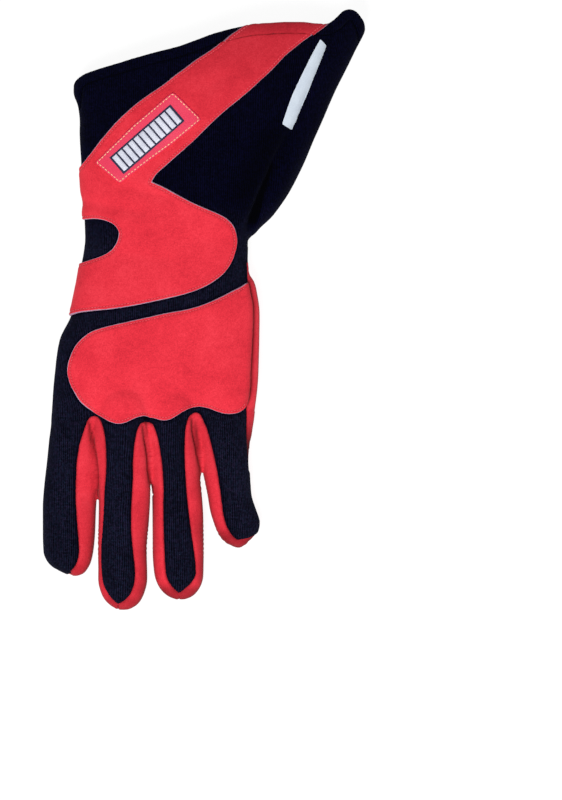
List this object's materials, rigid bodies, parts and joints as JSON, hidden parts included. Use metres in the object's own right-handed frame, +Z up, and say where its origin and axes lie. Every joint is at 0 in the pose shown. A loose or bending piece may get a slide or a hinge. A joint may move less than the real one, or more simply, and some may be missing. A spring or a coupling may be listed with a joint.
{
  "type": "racing glove",
  "caption": "Left racing glove with a long slanted cuff: dark knit back, red suede palm, finger sides and back patches, lying on its palm with the thumb folded under.",
  "frame": {"origin": "centre of the bounding box on the surface that the glove lies on", "axes": "+Y towards the cuff mouth and -Y towards the fingertips, +Z up from the surface through the back of the hand, +X towards the little-finger side"},
  "size_m": [0.1712, 0.3112, 0.0353],
  "materials": {
    "knit": "dark blue-black ribbed knit, matt with faint light flecks",
    "red_suede": "bright red suede with a short mottled nap",
    "dark_suede": "blue-black suede, quilted in thin lines",
    "badge_cloth": "woven pinkish-red field with a yellow-orange stitched border",
    "tape": "plain white woven tape"
  },
  "bodies": {
    "root": {"back_panel": "knit", "palm_panel": "red_suede", "side_strip_index_middle": "red_suede", "side_strip_middle_ring": "red_suede", "side_strip_ring_little": "red_suede", "thumb": "knit", "cuff_back": "knit", "cuff_palm": "knit", "cuff_hem": "knit", "band_patch": "red_suede", "knuckle_patch": "red_suede", "palm_pad": "dark_suede", "crotch_pad": "dark_suede", "thumb_pad": "red_suede", "badge": "badge_cloth", "tag": "tape"}
  },
  "joints": []
}
